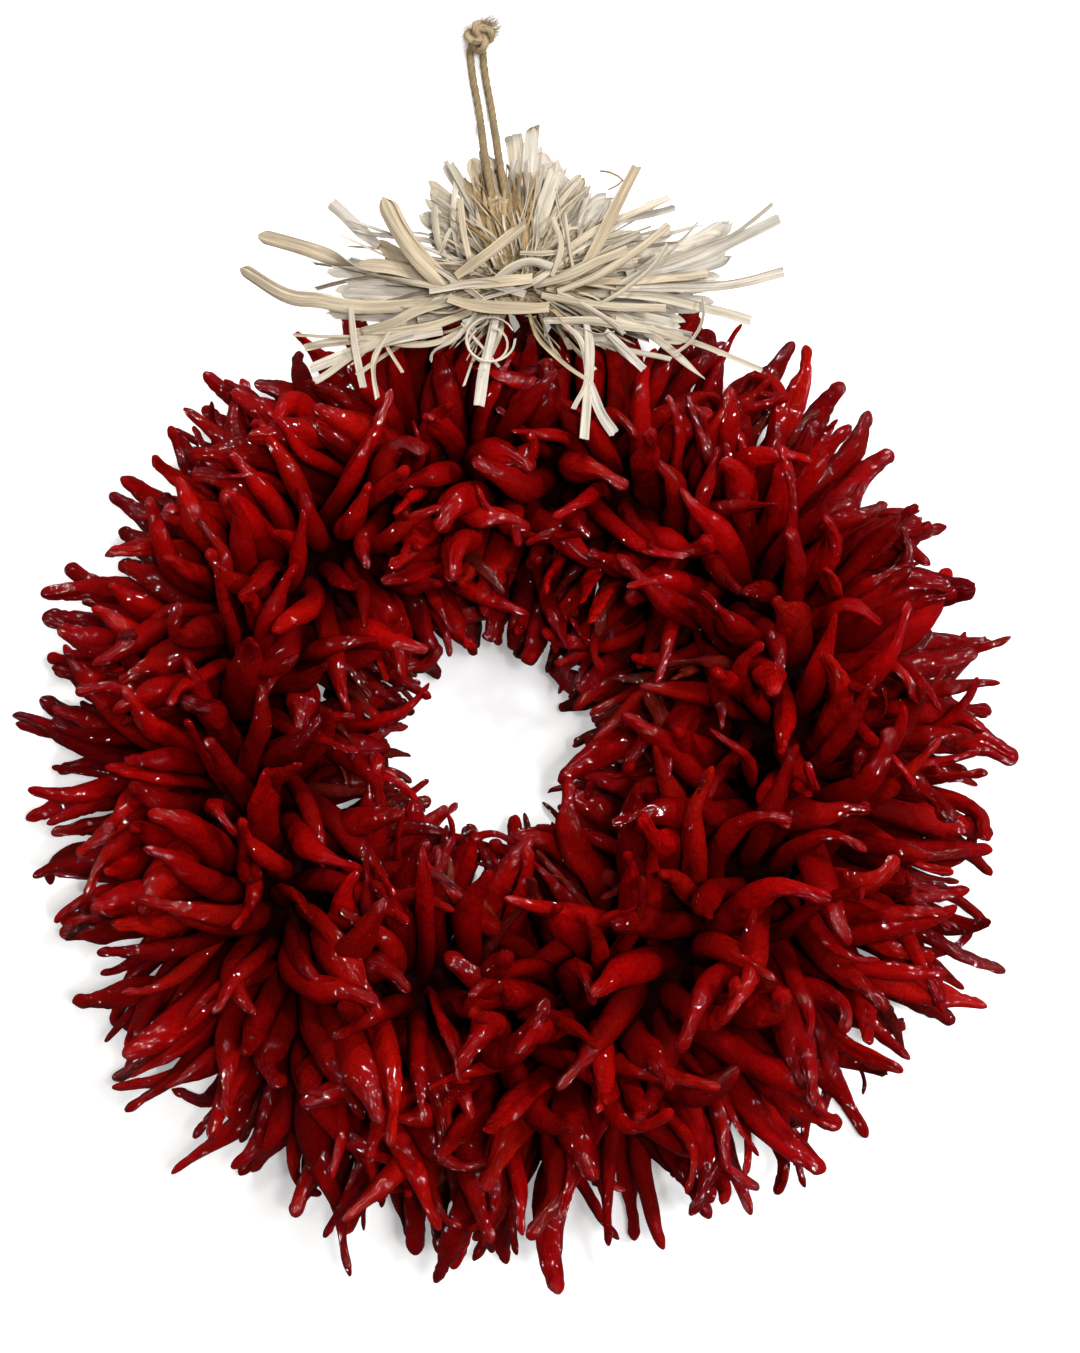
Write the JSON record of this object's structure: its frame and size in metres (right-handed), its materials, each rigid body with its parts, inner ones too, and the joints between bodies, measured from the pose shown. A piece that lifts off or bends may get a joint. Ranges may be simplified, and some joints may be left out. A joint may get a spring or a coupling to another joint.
{
  "type": "dried chili wreath",
  "caption": "Round wreath of whole dried red chilies standing out from a ring, with a shredded husk bow on its rim and a knotted twine loop to hang it by.",
  "frame": {"origin": "centre of the box of the wreath and its bow, without the twine loop, on the surface that its back lies on", "axes": "+Z out of the shown face, +Y from the middle towards the bow and the hanging loop, +X to the viewer's right"},
  "size_m": [0.37, 0.4724, 0.1025],
  "materials": {
    "chili_skin": "gloss",
    "husk": "matte",
    "twine": "matte"
  },
  "bodies": {
    "root": {"chilies": "chili_skin", "husk_bow": "husk", "twine_tie": "twine", "loop_strand_left": "twine", "loop_strand_right": "twine", "loop_knot": "twine"}
  },
  "joints": []
}
